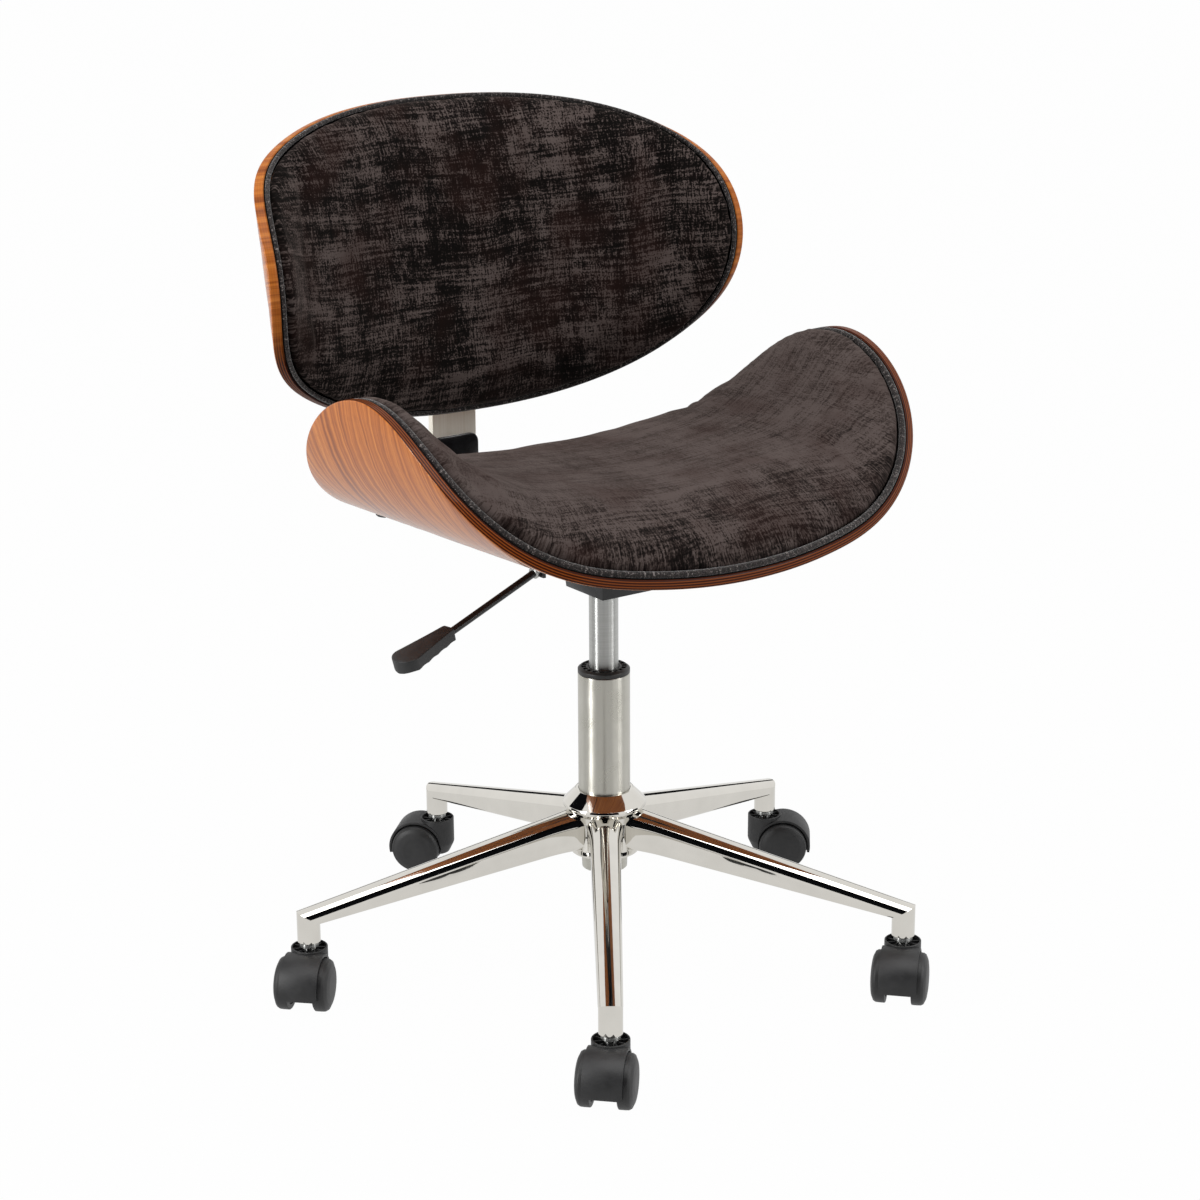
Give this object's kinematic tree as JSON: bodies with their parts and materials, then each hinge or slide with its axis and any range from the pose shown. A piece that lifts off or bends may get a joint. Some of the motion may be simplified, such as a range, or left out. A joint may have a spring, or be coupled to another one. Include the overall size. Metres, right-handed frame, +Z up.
{
  "type": "desk chair",
  "caption": "Swivel desk chair: bentwood walnut seat with wings and curved back, velvet pads, chrome gas lift, star base on twin-wheel casters.",
  "frame": {"origin": "on the floor, under the middle of the chair's footprint", "axes": "+Z up; the chair faces -Y; +X is the sitter's left"},
  "size_m": [0.658, 0.6332, 0.8142],
  "materials": {
    "chrome": "mirror bright plate",
    "satin_steel": "ground, satin",
    "dark_steel": "blackened steel",
    "black_paint": "satin powder coat",
    "black_nylon": "fine grained, satin",
    "walnut": "clear lacquered veneer on ply",
    "velvet": "crushed velvet",
    "welt": "covered cord"
  },
  "bodies": {
    "base": {"base_hub": "chrome", "base_leg_1": "chrome", "base_leg_2": "chrome", "base_leg_3": "chrome", "base_leg_4": "chrome", "base_leg_5": "chrome", "column_tube": "chrome", "column_bush": "black_nylon"},
    "spindle": {"piston_rod": "satin_steel", "thrust_bearing": "dark_steel", "retaining_clip": "dark_steel"},
    "seat": {"gas_cylinder": "satin_steel", "mechanism_housing": "black_paint", "seat_plate": "black_paint", "seat_shell": "walnut", "seat_pad": "velvet", "seat_piping": "welt", "seat_bolt_1": "dark_steel", "seat_bolt_2": "dark_steel", "seat_bolt_3": "dark_steel", "seat_bolt_4": "dark_steel", "cap_screw_left": "black_nylon", "cap_screw_right": "black_nylon", "back_bar": "chrome", "bar_sleeve": "black_nylon", "bar_bolt_1": "dark_steel", "bar_bolt_2": "dark_steel", "back_shell": "walnut", "back_pad": "velvet", "back_piping": "welt", "back_bolt_1": "dark_steel", "back_bolt_2": "dark_steel"},
    "lever": {"lever_rod": "black_paint", "lever_paddle": "black_nylon"},
    "valve": {"valve_pin": "dark_steel"},
    "caster_1": {"caster_1_hood": "black_nylon", "caster_1_stem": "dark_steel", "caster_1_axle": "dark_steel"},
    "caster_1_wheel_left": {"caster_1_wheel_left": "black_nylon"},
    "caster_1_wheel_right": {"caster_1_wheel_right": "black_nylon"},
    "caster_2": {"caster_2_hood": "black_nylon", "caster_2_stem": "dark_steel", "caster_2_axle": "dark_steel"},
    "caster_2_wheel_left": {"caster_2_wheel_left": "black_nylon"},
    "caster_2_wheel_right": {"caster_2_wheel_right": "black_nylon"},
    "caster_3": {"caster_3_hood": "black_nylon", "caster_3_stem": "dark_steel", "caster_3_axle": "dark_steel"},
    "caster_3_wheel_left": {"caster_3_wheel_left": "black_nylon"},
    "caster_3_wheel_right": {"caster_3_wheel_right": "black_nylon"},
    "caster_4": {"caster_4_hood": "black_nylon", "caster_4_stem": "dark_steel", "caster_4_axle": "dark_steel"},
    "caster_4_wheel_left": {"caster_4_wheel_left": "black_nylon"},
    "caster_4_wheel_right": {"caster_4_wheel_right": "black_nylon"},
    "caster_5": {"caster_5_hood": "black_nylon", "caster_5_stem": "dark_steel", "caster_5_axle": "dark_steel"},
    "caster_5_wheel_left": {"caster_5_wheel_left": "black_nylon"},
    "caster_5_wheel_right": {"caster_5_wheel_right": "black_nylon"}
  },
  "joints": [
    {"name": "seat_swivel", "type": "hinge", "parent": "base", "child": "spindle", "pos_m": [0, -0.026, 0.11], "axis": [0, 0, 1], "continuous": true},
    {"name": "gas_lift", "type": "slide", "parent": "spindle", "child": "seat", "axis": [0, 0, 1], "range_m": [-0.06, 0.04]},
    {"name": "lever_lift", "type": "hinge", "parent": "seat", "child": "lever", "pos_m": [-0.085, -0.0437, 0.4155], "axis": [-0.2039, 0.979, 0], "range_deg": [0, 2.5], "stiffness_Nm_per_rad": 4, "springref_deg": -3.44},
    {"name": "valve_press", "type": "slide", "parent": "seat", "child": "valve", "axis": [0, 0, 1], "range_m": [-0.0045, 0]},
    {"name": "caster_1_swivel", "type": "hinge", "parent": "base", "child": "caster_1", "pos_m": [0.27855, 0.07264, 0.07], "axis": [0, 0, 1], "continuous": true},
    {"name": "caster_1_roll_left", "type": "hinge", "parent": "caster_1", "child": "caster_1_wheel_left", "pos_m": [0.29401, 0.05994, 0.025], "axis": [0.6347, 0.7727, 0], "continuous": true},
    {"name": "caster_1_roll_right", "type": "hinge", "parent": "caster_1", "child": "caster_1_wheel_right", "pos_m": [0.29401, 0.05994, 0.025], "axis": [0.6347, 0.7727, 0], "continuous": true},
    {"name": "caster_2_swivel", "type": "hinge", "parent": "base", "child": "caster_2", "pos_m": [-0.00773, 0.2694, 0.07], "axis": [0, 0, 1], "continuous": true},
    {"name": "caster_2_roll_left", "type": "hinge", "parent": "caster_2", "child": "caster_2_wheel_left", "pos_m": [-0.0219, 0.28352, 0.025], "axis": [-0.7059, -0.7083, 0], "continuous": true},
    {"name": "caster_2_roll_right", "type": "hinge", "parent": "caster_2", "child": "caster_2_wheel_right", "pos_m": [-0.0219, 0.28352, 0.025], "axis": [-0.7059, -0.7083, 0], "continuous": true},
    {"name": "caster_3_swivel", "type": "hinge", "parent": "base", "child": "caster_3", "pos_m": [-0.28333, 0.05793, 0.07], "axis": [0, 0, 1], "continuous": true},
    {"name": "caster_3_roll_left", "type": "hinge", "parent": "caster_3", "child": "caster_3_wheel_left", "pos_m": [-0.29732, 0.04364, 0.025], "axis": [0.7145, -0.6997, 0], "continuous": true},
    {"name": "caster_3_roll_right", "type": "hinge", "parent": "caster_3", "child": "caster_3_wheel_right", "pos_m": [-0.29732, 0.04364, 0.025], "axis": [0.7145, -0.6997, 0], "continuous": true},
    {"name": "caster_4_swivel", "type": "hinge", "parent": "base", "child": "caster_4", "pos_m": [-0.16737, -0.26953, 0.07], "axis": [0, 0, 1], "continuous": true},
    {"name": "caster_4_roll_left", "type": "hinge", "parent": "caster_4", "child": "caster_4_wheel_left", "pos_m": [-0.18161, -0.28357, 0.025], "axis": [0.7022, -0.712, 0], "continuous": true},
    {"name": "caster_4_roll_right", "type": "hinge", "parent": "caster_4", "child": "caster_4_wheel_right", "pos_m": [-0.18161, -0.28357, 0.025], "axis": [0.7022, -0.712, 0], "continuous": true},
    {"name": "caster_5_swivel", "type": "hinge", "parent": "base", "child": "caster_5", "pos_m": [0.17989, -0.26044, 0.07], "axis": [0, 0, 1], "continuous": true},
    {"name": "caster_5_roll_left", "type": "hinge", "parent": "caster_5", "child": "caster_5_wheel_left", "pos_m": [0.16529, -0.2741, 0.025], "axis": [0.6833, -0.7302, 0], "continuous": true},
    {"name": "caster_5_roll_right", "type": "hinge", "parent": "caster_5", "child": "caster_5_wheel_right", "pos_m": [0.16529, -0.2741, 0.025], "axis": [0.6833, -0.7302, 0], "continuous": true}
  ],
  "couplings": [
    {"joint": "valve_press", "follows": "lever_lift", "m_per_rad": -0.0885}
  ]
}
